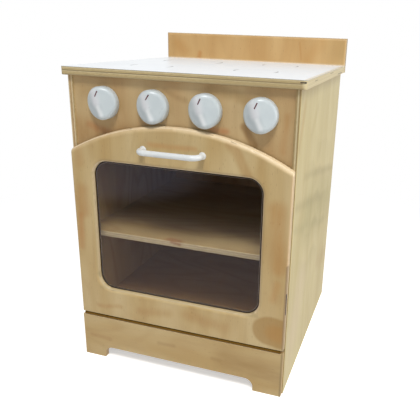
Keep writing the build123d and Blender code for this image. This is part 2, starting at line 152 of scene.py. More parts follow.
def makeStudio(s):
    world = bpy.data.worlds.new("studio")
    world.use_nodes = True
    bpy.context.scene.world = world
    tree = world.node_tree
    path = addNode(tree, "ShaderNodeLightPath").outputs
    seen = addNode(tree, "ShaderNodeMath", [path["Is Camera Ray"], path["Is Glossy Ray"]], operation="MAXIMUM")
    seen = addNode(tree, "ShaderNodeMath", [seen, path["Is Transmission Ray"]], operation="MAXIMUM")
    level = addNode(tree, "ShaderNodeMapRange", [seen, 0.0, 1.0, s["ambient"], s["behind"]])
    feed(tree, tree.nodes["Background"], {"Color": (1, 1, 1, 1), "Strength": level})

    half = s["floorSize"] / 2
    mesh = bpy.data.meshes.new("studioFloor")
    mesh.from_pydata([(-half, -half, 0), (half, -half, 0), (half, half, 0), (-half, half, 0)], [], [(0, 1, 2, 3)])
    floor = bpy.data.objects.new("studioFloor", mesh)
    bpy.context.collection.objects.link(floor)
    material, tree, shader = newMaterial("mattWhitePaper")  # even, soft shadow near the object, white beyond
    path = addNode(tree, "ShaderNodeLightPath").outputs
    seen = addNode(tree, "ShaderNodeMath", [path["Is Camera Ray"], path["Is Transmission Ray"]],
                   operation="MAXIMUM")
    lift = addNode(tree, "ShaderNodeMath", [seen, s["floorLift"]], operation="MULTIPLY")
    feed(tree, shader, {"Base Color": colour(s["floorTone"]), "Roughness": s["floorRough"],
                        "Specular IOR Level": s["floorGloss"], "Emission Color": (1, 1, 1, 1),
                        "Emission Strength": lift})
    place = addNode(tree, "ShaderNodeTexCoord").outputs["Object"]
    fade = addNode(tree, "ShaderNodeVectorMath", [place], operation="LENGTH")
    fade = addNode(tree, "ShaderNodeMapRange", [fade, *s["fade"]], interpolation_type="SMOOTHSTEP")
    fade = addNode(tree, "ShaderNodeMath", [fade, seen], operation="MULTIPLY")
    white = addNode(tree, "ShaderNodeEmission", {"Strength": 1.0})
    mixed = addNode(tree, "ShaderNodeMixShader", [fade, shader, white])
    # what gloss mirrors: a lit floor close by, a dim one further off, and on that a cool, soft-edged bright card
    level = addNode(tree, "ShaderNodeSeparateXYZ", [place]).outputs["Y"]
    level = addNode(tree, "ShaderNodeMapRange", [level, *s["turnsNear"], s["farLevel"], s["nearLevel"]],
                    interpolation_type="SMOOTHSTEP")
    card = addNode(tree, "ShaderNodeVectorMath", [place, s["cardPlace"]], operation="DISTANCE")
    card = addNode(tree, "ShaderNodeMapRange", [card, *s["cardReach"]], interpolation_type="SMOOTHSTEP")
    level = addNode(tree, "ShaderNodeMath", [level, card], operation="MAXIMUM")
    tone = layered(tree, colour(s["nearTone"]), (colour(s["cardTone"]), card))
    mirrored = addNode(tree, "ShaderNodeEmission", {"Color": tone, "Strength": level})
    mixed = addNode(tree, "ShaderNodeMixShader", [path["Is Glossy Ray"], mixed, mirrored])
    feed(tree, tree.nodes["Material Output"], {"Surface": mixed})
    mesh.materials.append(material)


makeCamera(cameraSet)
for lampName, lampPart in lampSet.items():
    makeLamp(lampName, lampPart)
makeStudio(studio)
bpy.context.scene.view_settings.view_transform = "Standard"
print("camera, lamps and floor in place")


# radiata pine plywood under clear satin lacquer: a pale rotary-cut face with a broad, soft ring figure
# that wanders, amber heartwood marks, and edges that show pale and brown plies in turn with dark glue lines.
# Some marks and spots are painted light and shade instead, each noted where it stands

woodTones = dict(pale="#C6AF80", gold="#B79963", late="#A07A44", fleck="#6E4A24",
                 edgePale="#D6C299", edgeBrown="#B99A6C", glue="#8C6C44", gap="#2A1C0E")

# how each sheet lies: grain runs along, plies stack up through it from its face; lengths in mm
# marks lie in the veneer, placed along and across it; spots lie over the finished wood, placed through it as well;
# some of both are painted light and shade, noted where they stand
sheets = {
    "door_panel": dict(
        along=zAxis, across=xAxis, through=yAxis, face=-223, thick=12, plies=5, seed=3.1, figure=0.12,
        edgePale="#E6D4B2", edgeBrown="#DCC49A", glue="#C4AA7E", edgeTurn=(0.82, 0.68),
        marks=[
            dict(a=(145, 194), b=(143, 250), reach=36, soft=0.2, tone="#9A722E", share=0.6, even=True),
            dict(a=(143, 204), b=(141, 250), reach=26, soft=0.6, tone="#B0803C", share=0.5, even=True),
            dict(a=(506, 108), b=(440, 146), reach=15, soft=0.7, tone="#A67A3C", share=0.45),
            dict(a=(395, 200), b=(285, 208), reach=26, soft=0.8, tone="#AC7834", share=0.45),
            dict(a=(216, 196), b=(250, 205), reach=14, soft=1.0, tone="#B57A34", share=0.3),
            dict(a=(385, -205), b=(340, -203), reach=24, soft=0.9, tone="#A8702C", share=0.4),
            dict(a=(330, -211), b=(262, -216), reach=13, soft=1.0, tone="#B06E30", share=0.4),
            dict(a=(440, -202), b=(470, -204), reach=18, soft=1.0, tone="#A8702C", share=0.25),
            dict(a=(491, -50), b=(489, 40), reach=9, soft=1.0, tone="#BC7A30", share=0.35),
            dict(a=(128, -184), b=(132, -130), reach=9, soft=1.0, tone="#A8702C", share=0.3),
            dict(a=(134, -85), b=(138, -20), reach=17, soft=1.0, tone="#A67A3C", share=0.35),
            dict(a=(146, 20), b=(134, 100), reach=22, soft=1.0, tone="#A67A3C", share=0.38)],
        spots=[
            # painted shade: the rounded rim along the window's foot and left side is tan, with a dark line of shade
            # on its left wall
            dict(a=(173, -176, -217), b=(173, 170, -217), reach=8, tone="#AC986C", share=0.7),
            dict(a=(176, -166, -217), b=(202, -180, -217), reach=8, tone="#AC986C", share=0.6),
            dict(a=(204, -181, -217), b=(420, -181, -217), reach=8, tone="#AC986C", share=0.5),
            dict(a=(205, -179, -213), b=(420, -179, -213), reach=2.8, tone="#5A4420", share=0.6),
            # painted highlight: the arch's rounded edge is paler toward its right, where the light falls
            dict(a=(465, -225, -220), b=(499, -150, -220), reach=8, soft=0.9, tone="#E2C49C", share=0.25),
            dict(a=(499, -150, -220), b=(518, -75, -220), reach=8, soft=0.9, tone="#E2C49C", share=0.3),
            dict(a=(518, -75, -220), b=(524, 0, -220), reach=8, soft=0.9, tone="#E4C8A0", share=0.38),
            dict(a=(524, 0, -220), b=(518, 75, -220), reach=8, soft=0.9, tone="#E6CEA8", share=0.5),
            dict(a=(518, 75, -220), b=(499, 150, -220), reach=8, soft=0.8, tone="#E8D0A8", share=0.6),
            dict(a=(499, 150, -220), b=(465, 225, -220), reach=8, soft=0.8, tone="#E8D0A8", share=0.6),
            dict(a=(521, 60, -220), b=(519, 74, -220), reach=1.4, tone="#7A5A34", share=0.7),
            dict(a=(510, 108, -220), b=(507, 118, -220), reach=1.3, tone="#7A5A34", share=0.6),
            dict(a=(497, 150, -220), b=(493, 160, -220), reach=1.3, tone="#7A5A34", share=0.5),
            # painted light and shade on the door's right edge: paler above, darker below
            dict(a=(290, 227, -222), b=(455, 227, -222), reach=7, tone="#C8A880", share=0.5),
            dict(a=(112, 227, -222), b=(285, 227, -222), reach=7, tone="#8A7250", share=0.75),
            dict(a=(188, 226, -219), b=(229, 226, -220), reach=3.6, tone="#2A1C0C")]),
    "front_plinth": dict(
        along=xAxis, across=zAxis, through=yAxis, face=-222.7, thick=12, plies=5, seed=9.7, figure=0.14,
        edgePale="#E2CCA0", edgeBrown="#CDAC76", glue="#A88654",
        marks=[
            dict(a=(-205, 50), b=(-160, 47), reach=9, soft=1.0, tone="#9A6A30", share=0.3),
            dict(a=(-43, 66), b=(-8, 66), reach=8, soft=1.0, tone="#8E6A30", share=0.36),
            dict(a=(80, 55), b=(97, 54), reach=7, soft=1.0, tone="#8E6A30", share=0.36),
            dict(a=(110, 62), b=(225, 50), reach=44, soft=1.0, tone="#96743C", share=0.5)],
        spots=[
            # painted shade: the plinth's right end is darker
            dict(a=(226, 0, -221), b=(226, 99, -221), reach=6, tone="#8C7850", share=0.65)]),
    "control_panel": dict(
        along=zAxis, across=xAxis, through=yAxis, face=-207.7, thick=12, plies=5, seed=5.3, figure=0.1,
        pale="#C3A87A", gold="#B29060",
        marks=[
            # painted shade: darker along the arch at the panel's lower left
            dict(a=(500, -222), b=(496, -120), reach=46, soft=0.9, tone="#9C7036", share=0.55),
            dict(a=(586, -215), b=(560, -130), reach=26, soft=1.0, tone="#A07C44", share=0.28),
            # painted shadow: an orange-brown patch under the first knob
            dict(a=(514, -186), b=(502, -146), reach=12, soft=1.0, tone="#A8642C", share=0.42),
            dict(a=(600, 66), b=(582, 128), reach=17, soft=0.9, tone="#8E6E34", share=0.4),
            dict(a=(591, -28), b=(574, 14), reach=9, soft=1.0, tone="#8E6C3C", share=0.35),
            # painted shadow: a dark amber streak under the fourth knob's left half
            dict(a=(533, 128), b=(506, 146), reach=12, soft=0.7, tone="#8A5E20", share=0.55),
            dict(a=(528, 68), b=(524, 96), reach=10, soft=1.0, tone="#B8682C", share=0.42),
            dict(a=(500, 200), b=(560, 204), reach=12, soft=1.0, tone="#A8702C", share=0.3)]),
    "backsplash": dict(
        along=zAxis, across=xAxis, through=yAxis, face=241, thick=12, plies=5, seed=12.9, figure=0.07,
        pale="#CFAB74", gold="#BF965C", fibre=0.6,
        marks=[
            dict(a=(626, -149), b=(640, -146), reach=9, soft=0.9, tone="#B5701F", share=0.45),
            dict(a=(635, 128), b=(676, 122), reach=4, soft=0.9, tone="#B5803C", share=0.4),
            dict(a=(640, 150), b=(672, 178), reach=26, soft=0.9, tone="#B98640", share=0.3),
            dict(a=(650, 225), b=(670, 235), reach=60, soft=1.0, tone="#A8864C", share=0.5, even=True),
            dict(a=(660, -205), b=(640, -186), reach=24, soft=0.9, tone="#B88440", share=0.4)],
        spots=[
            # painted light: a pale line along the backsplash's foot, where it meets the hob
            dict(a=(621, -237, 240), b=(621, 237, 240), reach=7, soft=0.8, tone="#EADCC2", share=0.7),
            # painted shade: the backsplash's right end is darker
            dict(a=(624, 241, 247), b=(686, 241, 247), reach=7, tone="#8E8068", share=0.6)]),
    "right_side_panel": dict(
        along=zAxis, across=yAxis, through=xAxis, face=218, thick=9, plies=3, seed=21.4, figure=0.05, sway=9,
        # its outer plies take the darker edge tone, painted shade along both corners of its front edge
        fibre=0.25, pale="#CCBE88", gold="#C2B278", edgePale="#A08A5C", edgeBrown="#CCBC94", glue="#A08A60",
        waves=dict(run=(-1, -0.22), step=66, waver=1.2, tone="#8A7C3C", share=0.24, heart=(335, 20), reach=230,
                   soft=0.8, rise=0.22, fall=0.2),
        marks=[
            # painted shade: a darker band along the top, under the hob's overhang
            dict(a=(610, -230), b=(610, 250), reach=34, soft=1.0, tone="#94804C", share=0.72, even=True),
            dict(a=(352, -80), b=(300, 220), reach=95, soft=1.0, tone="#96904C", share=0.36),
            dict(a=(437, -129), b=(369, 241), reach=15, soft=1.0, tone="#8A7C40", share=0.3),
            dict(a=(393, -196), b=(332, 106), reach=17, soft=1.0, tone="#8A7C40", share=0.24),
            dict(a=(351, -193), b=(250, 170), reach=18, soft=1.0, tone="#8A8444", share=0.22),
            dict(a=(190, -96), b=(88, -147), reach=90, soft=1.0, tone="#D2BE9C", share=0.45),
            dict(a=(504, -200), b=(575, -170), reach=20, soft=1.0, tone="#B08A40", share=0.4),
            dict(a=(510, -90), b=(556, -40), reach=22, soft=1.0, tone="#A8904C", share=0.25),
            dict(a=(160, 110), b=(130, 240), reach=40, soft=1.0, tone="#9E7838", share=0.2)]),
    "left_side_panel": dict(
        along=zAxis, across=yAxis, through=xAxis, face=-227, thick=9, plies=3, seed=33.8, figure=0.3,
        pale="#D2C399", gold="#C6B484"),
    "hob_board": dict(
        along=xAxis, across=yAxis, through=zAxis, face=607.5, thick=15, plies=5, seed=41.2, figure=0.2,
        # its end faces take a darker tone: painted shade
        edgePale="#CDBB8F", edgeBrown="#BEAA7A", glue="#A08A60", ends="#EEE8D8", voids=0.15,
        spots=[
            dict(a=(-237, -218, 616.2), b=(237, -218, 616.8), reach=1.0, tone="#6E6044", share=0.75),
            dict(a=(-237, -218, 608.4), b=(237, -218, 608.4), reach=2.4, tone="#86724C", share=0.55),
            # painted shade: the right part of the front edge is darker
            dict(a=(60, -223, 615), b=(230, -223, 615), reach=14, soft=1.0, tone="#A08C60", share=0.45),
            # painted light: the right edge is paler
            dict(a=(237, -214, 615), b=(237, 245, 615), reach=11, tone="#DCCFA6", share=0.6),
            dict(a=(226, -217, 619), b=(235, -217, 619), reach=1.8, tone="#241A10"),
            dict(a=(238, -150, 617), b=(238, -120, 617), reach=1.5, tone="#4A4230", share=0.7),
            dict(a=(238, 20, 619), b=(238, 60, 619), reach=1.5, tone="#4A4230", share=0.7),
            dict(a=(238, 130, 611), b=(238, 190, 611), reach=1.8, tone="#5A5038", share=0.7)]),
    "oven_floor": dict(
        along=xAxis, across=yAxis, through=zAxis, face=94.7, thick=12, plies=5, seed=52.0, figure=0.3),
    "oven_shelf": dict(
        along=xAxis, across=yAxis, through=zAxis, face=278, thick=12, plies=5, seed=55.5, figure=0.25,
        # its edge tones are paler and greener than its face: painted light on its front edge
        pale="#CEC392", gold="#BEAC74", edgePale="#E8E9CA", edgeBrown="#DCDAB6", glue="#BEBA92", voids=0,
        marks=[
            dict(a=(-30, -186), b=(-12, -190), reach=16, soft=0.8, tone="#A8643C", share=0.5, even=True)],
        spots=[
            dict(a=(-24, -193, 288), b=(-6, -193, 285), reach=5, soft=0.8, tone="#A8744C", share=0.6)]),
    "back_panel": dict(along=zAxis, across=xAxis, through=yAxis, face=243, thick=6, plies=3, seed=61.0, figure=0.3),
    "rear_rail": dict(
        along=xAxis, across=zAxis, through=yAxis, face=237, thick=12, plies=5, seed=66.0, figure=0.25),
    "plinth_blocks": dict(
        along=zAxis, across=xAxis, through=yAxis, face=-211, thick=18, plies=0, seed=71.0, figure=0.4),
    "hob_battens": dict(
        along=yAxis, across=xAxis, through=zAxis, face=589.5, thick=18, plies=0, seed=74.0, figure=0.4),
    "floor_battens": dict(
        along=yAxis, across=xAxis, through=zAxis, face=76.7, thick=18, plies=0, seed=77.0, figure=0.4),
    "shelf_battens": dict(
        along=yAxis, across=xAxis, through=zAxis, face=260, thick=18, plies=0, seed=79.0, figure=0.4),
}


# 1 on the line from a to b, 0 beyond its reach, with a rim that takes up the soft share of that reach
def strokeMask(tree, place, a, b, reach, soft):
    a, b = Vector(a).to_3d(), Vector(b).to_3d()
    run = b - a
    offset = addNode(tree, "ShaderNodeVectorMath", [place, a], operation="SUBTRACT")
    along = addNode(tree, "ShaderNodeVectorMath", [offset, run / max(run.length_squared, tiny)],
                    operation="DOT_PRODUCT")
    along = addNode(tree, "ShaderNodeMath", [along, 1.0], operation="MULTIPLY", use_clamp=True)
    nearest = addNode(tree, "ShaderNodeVectorMath", {0: run, "Scale": along}, operation="SCALE")
    gap = addNode(tree, "ShaderNodeVectorMath", [offset, nearest], operation="DISTANCE")
    return addNode(tree, "ShaderNodeMapRange", [gap, reach, reach * (1 - soft)], interpolation_type="SMOOTHSTEP")


# a skin tinted by each stroke in turn; a texture breaks up those that aren't even
def drawStrokes(tree, skin, place, strokes, soft=1.0, texture=None):
    for stroke in strokes:
        mask = strokeMask(tree, place, stroke["a"], stroke["b"], stroke["reach"], stroke.get("soft", soft))
        if texture and not stroke.get("even"):
            mask = addNode(tree, "ShaderNodeMath", [mask, texture], operation="MULTIPLY")
        mask = addNode(tree, "ShaderNodeMath", [mask, stroke.get("share", 1.0)], operation="MULTIPLY")
        skin = layered(tree, skin, (colour(stroke["tone"]), mask))
    return skin


# flame figure of a rotary-cut veneer: wavering bands, each dark at its upper edge and fading below it
def waveFigure(tree, skin, swayed, flat, slow, w):
    run = Vector(w["run"]).to_3d() / w["step"]
    phase = addNode(tree, "ShaderNodeVectorMath", [flat, run], operation="DOT_PRODUCT")
    phase = addNode(tree, "ShaderNodeMath", [slow, w["waver"], phase], operation="MULTIPLY_ADD")
    phase = addNode(tree, "ShaderNodeMath", [phase], operation="FRACT")
    rise = addNode(tree, "ShaderNodeMapRange", [phase, 0.0, w["rise"]])
    fall = addNode(tree, "ShaderNodeMapRange", [phase, w["fall"], 1.0, 1.0, 0.0])
    share = strokeMask(tree, swayed, w["heart"], w["heart"], w["reach"], w["soft"])
    for factor in (rise, fall, w["share"]):
        share = addNode(tree, "ShaderNodeMath", [share, factor], operation="MULTIPLY")
    return layered(tree, skin, (colour(w["tone"]), share))


# features in mm as length, width and thickness; each range is the part of the noise that a feature takes up
grain = dict(
    seedSteps=(97, 53, 31),
    # broad drift of colour
    drift=(240, 60, 60), driftRange=(0.35, 0.68),
    # growth rings: contour lines of a slow noise, about 9 mm apart across the grain
    rings=(330, 95, 95), ringTurns=17.0, ringRange=(0.45, 1.0),
    # fibres, coarser than real ones so that they show
    fibres=(50, 1.6, 1.6), fibreShade=(0.03, 0.027),
    # resin flecks
    flecks=(9, 1.2, 1.2), fleckRange=(0.76, 0.84), fleckShare=0.4,
    # how marks break up, and how far they waver
    broken=(45, 14, 14), brokenRange=(0.3, 0.65, 0.7, 1.1), sway=16,
    # edges: where a face turns into one, how far plies wander, and their glue lines
    edgeTurn=(0.75, 0.6), plyWander=0.5, glueRange=(0.13, 0.04), glueShare=0.7,
    # core gaps, only in the cross plies
    gaps=(26, 26, 3), gapRange=(0.72, 0.78), gapShare=0.8,
    # saw marks on edges
    grit=(7, 7, 0.8), gritRange=(0.4, 0.75), gritShare=0.35,
    # lacquer
    gloss=(0.38, 0.52), edgeDulls=0.14, ringRelief=0.6, relief=(0.25, 0.0004), spotSoft=0.4)


# the material of one sheet, with its own grain, plies, marks and spots
def plywood(name, s):
    g = grain
    material, tree, shader = newMaterial("lacqueredPinePly_" + name)
    tone = {key: colour(s.get(key, woodTones[key])) for key in woodTones}
    coords = addNode(tree, "ShaderNodeTexCoord").outputs
    place = addNode(tree, "ShaderNodeSeparateXYZ", [coords["Object"]]).outputs
    facing = addNode(tree, "ShaderNodeSeparateXYZ", [coords["Normal"]]).outputs
    flat = addNode(tree, "ShaderNodeCombineXYZ", [place[s[way]] for way in ("along", "across", "through")])
    flat = addNode(tree, "ShaderNodeVectorMath", {0: flat, "Scale": 1 / mm}, operation="SCALE")
    apart = [s["seed"] * step for step in g["seedSteps"]]
    own = addNode(tree, "ShaderNodeVectorMath", [flat, apart], operation="ADD")

    drift = stretchedNoise(tree, own, g["drift"], 2)
    golden = addNode(tree, "ShaderNodeMapRange", [drift, *g["driftRange"]])
    ringField = stretchedNoise(tree, own, g["rings"], 1.2, rough=0.35)
    rings = addNode(tree, "ShaderNodeMath", [ringField, g["ringTurns"]], operation="MULTIPLY")
    rings = addNode(tree, "ShaderNodeMath", [rings, 1.0], operation="PINGPONG")
    rings = addNode(tree, "ShaderNodeMapRange", [rings, *g["ringRange"]], interpolation_type="SMOOTHSTEP")
    rings = addNode(tree, "ShaderNodeMath", [rings, s["figure"]], operation="MULTIPLY")
    fibres = stretchedNoise(tree, own, g["fibres"], 2.5)
    flecks = stretchedNoise(tree, own, g["flecks"], 0)
    flecks = addNode(tree, "ShaderNodeMapRange", [flecks, *g["fleckRange"], 0.0, g["fleckShare"]])
    skin = layered(tree, tone["pale"], (tone["gold"], golden), (tone["late"], rings), (tone["fleck"], flecks))

    # marks follow the veneer's own waviness
    reach = s.get("sway", g["sway"])
    sway = addNode(tree, "ShaderNodeVectorMath", [drift.outputs["Color"], (0.5, 0.5, 0.5)], operation="SUBTRACT")
    sway = addNode(tree, "ShaderNodeVectorMath", [sway, (reach, reach, 0), flat], operation="MULTIPLY_ADD")
    onFace = addNode(tree, "ShaderNodeVectorMath", [sway, (1, 1, 0)], operation="MULTIPLY")
    broken = stretchedNoise(tree, own, g["broken"], 2)
    broken = addNode(tree, "ShaderNodeMapRange", [broken, *g["brokenRange"]])
    skin = drawStrokes(tree, skin, onFace, s.get("marks", []), texture=broken)
    if "waves" in s:
        skin = waveFigure(tree, skin, onFace, flat, ringField, s["waves"])

    # edges: plies in turn, with glue lines; the plies swap where the end grain shows
    onEdge = addNode(tree, "ShaderNodeMath", [facing[s["through"]]], operation="ABSOLUTE")
    onEdge = addNode(tree, "ShaderNodeMapRange", [onEdge, *s.get("edgeTurn", g["edgeTurn"])])
    endOn = addNode(tree, "ShaderNodeMath", [facing[s["along"]]], operation="ABSOLUTE")
    endOn = addNode(tree, "ShaderNodeMath", [endOn, 0.5], operation="GREATER_THAN")
    grit = stretchedNoise(tree, own, g["grit"], 3)
    grit = addNode(tree, "ShaderNodeMapRange", [grit, *g["gritRange"], 0.0, g["gritShare"]])
    if s["plies"]:
        level = addNode(tree, "ShaderNodeMath", [place[s["through"]], s["face"] * mm], operation="SUBTRACT")
        level = addNode(tree, "ShaderNodeMath", [level, s["plies"] / (s["thick"] * mm)], operation="MULTIPLY")
        level = addNode(tree, "ShaderNodeMath", [drift, g["plyWander"], level], operation="MULTIPLY_ADD")
        level = addNode(tree, "ShaderNodeMath", [level, g["plyWander"] / 2], operation="SUBTRACT")
        turnOf = addNode(tree, "ShaderNodeMath", [level], operation="FLOOR")
        turnOf = addNode(tree, "ShaderNodeMath", [turnOf, endOn], operation="ADD")
        turnOf = addNode(tree, "ShaderNodeMath", [turnOf, 2.0], operation="FLOORED_MODULO")
        glue = addNode(tree, "ShaderNodeMath", [level, 0.5], operation="PINGPONG")
        glue = addNode(tree, "ShaderNodeMapRange", [glue, *g["glueRange"], 0.0, g["glueShare"]])
        gaps = stretchedNoise(tree, own, g["gaps"], 0)
        gaps = addNode(tree, "ShaderNodeMapRange", [gaps, *g["gapRange"], 0.0, s.get("voids", g["gapShare"])])
        gaps = addNode(tree, "ShaderNodeMath", [gaps, turnOf], operation="MULTIPLY")
        plies = [(tone["edgeBrown"], turnOf), (tone["glue"], glue), (tone["gap"], gaps)]
    else:
        plies = [(tone["edgeBrown"], endOn)]
    rim = layered(tree, tone["edgePale"], *plies, (tone["fleck"], grit))
    # painted shade: the end faces are darkened by a tone, where the sheet has one
    if "ends" in s:
        rim = addNode(tree, "ShaderNodeMix", {"Factor": endOn, "A": rim, "B": colour(s["ends"])},
                      data_type="RGBA", blend_type="MULTIPLY")
    wood = layered(tree, skin, (rim, onEdge))
    wood = drawStrokes(tree, wood, flat, s.get("spots", []), soft=g["spotSoft"])
    darker, lighter = (share * s.get("fibre", 1.0) for share in g["fibreShade"])
    shade = addNode(tree, "ShaderNodeMapRange", [fibres, *noiseSpan, 1 - darker, 1 + lighter])
    wood = addNode(tree, "ShaderNodeMix", {"Factor": 1.0, "A": wood, "B": shade},
                   data_type="RGBA", blend_type="MULTIPLY")

    # satin lacquer: glossier on the dense latewood, duller on sawn edges
    rough = addNode(tree, "ShaderNodeMapRange", [fibres, *noiseSpan, *g["gloss"]])
    rough = addNode(tree, "ShaderNodeMath", [onEdge, g["edgeDulls"], rough], operation="MULTIPLY_ADD")
    raised = addNode(tree, "ShaderNodeMath", [rings, g["ringRelief"], fibres], operation="MULTIPLY_ADD")
    setSurface(tree, shader, wood, rough, raised, g["relief"],
               {"IOR": 1.5, "Coat Weight": 0.15, "Coat Roughness": 0.25})
    return material


for sheetName, sheet in sheets.items():
    dress(sheetName, plywood(sheetName, sheet))
print("plywood and battens dressed")


# white high-pressure laminate: clean cool white with a faint orange-peel gloss, a grey core at its cut edge,
# and printed burner rings that are worn away but for their left and right
hobTop = dict(white="#F4F8FB", cloudy="#DDE4EA", cloud=9, cloudRange=(0.4, 0.8, 0.0, 0.3), core="#A9ABA4",
              line="#16181C", lineWidth=(2.3, 1.38), printed=(0.92, 0.985), worn=0.04,
              border=(229, 233, 0.0, 0.8), creamBand="#DCCFB2", rough=(0.3, 0.42), peel=420, relief=(0.1, 0.0002),
              burners=[(-109, -95, 42), (108, -82, 42), (-105, 107, 69), (105, 122, 40)])


def laminate(s):
    material, tree, shader = newMaterial("whiteMelamineLaminate")
    coords = addNode(tree, "ShaderNodeTexCoord").outputs
    flat = addNode(tree, "ShaderNodeVectorMath", [coords["Object"], (1 / mm, 1 / mm, 0)], operation="MULTIPLY")
    cloud = addNode(tree, "ShaderNodeTexNoise", {"Vector": coords["Object"], "Scale": s["cloud"], "Detail": 2})
    cloudy = addNode(tree, "ShaderNodeMapRange", [cloud, *s["cloudRange"]])
    layers = [(colour(s["cloudy"]), cloudy)]
    # each ring is printed in full only far out to its left and right
    for x, y, radius in s["burners"]:
        side = addNode(tree, "ShaderNodeVectorMath", [flat, (x, y, 0)], operation="SUBTRACT")
        side = addNode(tree, "ShaderNodeSeparateXYZ", [side]).outputs["X"]
        side = addNode(tree, "ShaderNodeMath", [side], operation="ABSOLUTE")
        inner, outer = (radius * share for share in s["printed"])
        printed = addNode(tree, "ShaderNodeMapRange", [side, inner, outer, s["worn"]])
        gap = addNode(tree, "ShaderNodeVectorMath", [flat, (x, y, 0)], operation="DISTANCE")
        gap = addNode(tree, "ShaderNodeMath", [gap, radius], operation="SUBTRACT")
        gap = addNode(tree, "ShaderNodeMath", [gap], operation="ABSOLUTE")
        ink = addNode(tree, "ShaderNodeMapRange", [gap, *s["lineWidth"]])
        ink = addNode(tree, "ShaderNodeMath", [ink, printed], operation="MULTIPLY")
        layers.append((colour(s["line"]), ink))
    # a cream band along the laminate's right edge
    border = addNode(tree, "ShaderNodeSeparateXYZ", [flat]).outputs["X"]
    border = addNode(tree, "ShaderNodeMapRange", [border, *s["border"]])
    cut = addNode(tree, "ShaderNodeSeparateXYZ", [coords["Normal"]]).outputs["Z"]
    cut = addNode(tree, "ShaderNodeMath", [cut, 0.5], operation="LESS_THAN")
    top = layered(tree, colour(s["white"]), *layers, (colour(s["creamBand"]), border), (colour(s["core"]), cut))
    rough = addNode(tree, "ShaderNodeMapRange", [cloud, 0.0, 1.0, *s["rough"]])
    peel = addNode(tree, "ShaderNodeTexNoise", {"Vector": coords["Object"], "Scale": s["peel"], "Detail": 1})
    setSurface(tree, shader, top, rough, peel, s["relief"], {"IOR": 1.5})
    return material


dress("hob_laminate", laminate(hobTop))


# plastics from a polished tool: even colour, a soft broad highlight and a very slight sink waviness
plastics = {
    "whiteAbs": dict(base="#C6CECF", shade="#B8C1C5", rough=(0.26, 0.36), wave=55, relief=(0.08, 0.001),
                     paintedLight=dict(first=(-151.35, 559.5), spacing=103.3, strokes=[
                         # painted shade on the lower-left flank, then painted highlights near the pointer and down
                         # the ridge
                         dict(a=(-18, 0, -4), b=(-6, 0, -24), reach=9, tone="#A4AEB2", share=0.35),
                         dict(a=(-10, 0, 18), b=(-6, 0, 2), reach=14, tone="#F4F2F6", share=0.6),
                         dict(a=(-2, 0, -7), b=(4.5, 0, -20), reach=8, tone="#F2F4F5", share=0.7)])),
    "handleAbs": dict(base="#E3E5E3", shade="#D3D8DB", rough=(0.22, 0.32), wave=45, relief=(0.06, 0.001)),
    "pointerPaint": dict(base="#5E1A2C", shade="#4C1422", rough=(0.4, 0.55), wave=300, relief=(0.1, 0.001)),
    "catchNylon": dict(base="#4A3222", shade="#3C2819", rough=(0.5, 0.62), wave=120, relief=(0.15, 0.001)),
}


# painted highlight along each knob's ridge and painted shade on its lower-left flank: strokes set out from the
# middle of each knob in the row
def paintedKnobLight(tree, skin, place, s):
    place = addNode(tree, "ShaderNodeVectorMath", {0: place, "Scale": 1 / mm}, operation="SCALE")
    place = addNode(tree, "ShaderNodeSeparateXYZ", [place]).outputs
    x = addNode(tree, "ShaderNodeMath", [place["X"], s["first"][0]], operation="SUBTRACT")
    x = addNode(tree, "ShaderNodeMath", [x, s["spacing"] / 2, -s["spacing"] / 2], operation="WRAP")
    z = addNode(tree, "ShaderNodeMath", [place["Z"], s["first"][1]], operation="SUBTRACT")
    place = addNode(tree, "ShaderNodeCombineXYZ", {"X": x, "Z": z})
    return drawStrokes(tree, skin, place, s["strokes"])


def moulded(name, s):
    material, tree, shader = newMaterial(name)
    place = addNode(tree, "ShaderNodeTexCoord").outputs["Object"]
    wave = addNode(tree, "ShaderNodeTexNoise", {"Vector": place, "Scale": s["wave"], "Detail": 2})
    skin = layered(tree, colour(s["base"]), (colour(s["shade"]), wave))
    if "paintedLight" in s:
        skin = paintedKnobLight(tree, skin, place, s["paintedLight"])
    rough = addNode(tree, "ShaderNodeMapRange", [wave, *noiseSpan, *s["rough"]])
    setSurface(tree, shader, skin, rough, wave, s["relief"], {"IOR": 1.52})
    return material


plastic = {name: moulded(name, s) for name, s in plastics.items()}
for number in range(1, 5):
    dress(f"knob_{number}", plastic["whiteAbs"])
    dress(f"knob_pointer_{number}", plastic["pointerPaint"])
dress("door_handle", plastic["handleAbs"])
dress("catch_body", plastic["catchNylon"])
print("laminate and plastics dressed")


# brass dulled by handling and zinc-plated steel, both brushed along one axis, and grey ferrite; the brass has
# painted shade along its top, under the door's bottom edge
metals = {
    "dulledShadedBrass": dict(base="#A07C36", dull="#7A5A22", rough=(0.3, 0.48), brush=(12, 0.5, 0.5),
                        doorShade=(103.0, 105.4, "#2E200A")),
    "zincSteel": dict(base="#C9CBCC", dull="#9C9EA0", rough=(0.25, 0.42), brush=(3, 3, 0.5)),
    "darkFerrite": dict(base="#4A4A4C", dull="#3A3A3C", rough=(0.5, 0.65), brush=(2, 2, 2)),
}
metalWear = dict(cloud=60, doorShadeShare=0.9, relief=(0.15, 0.0002))


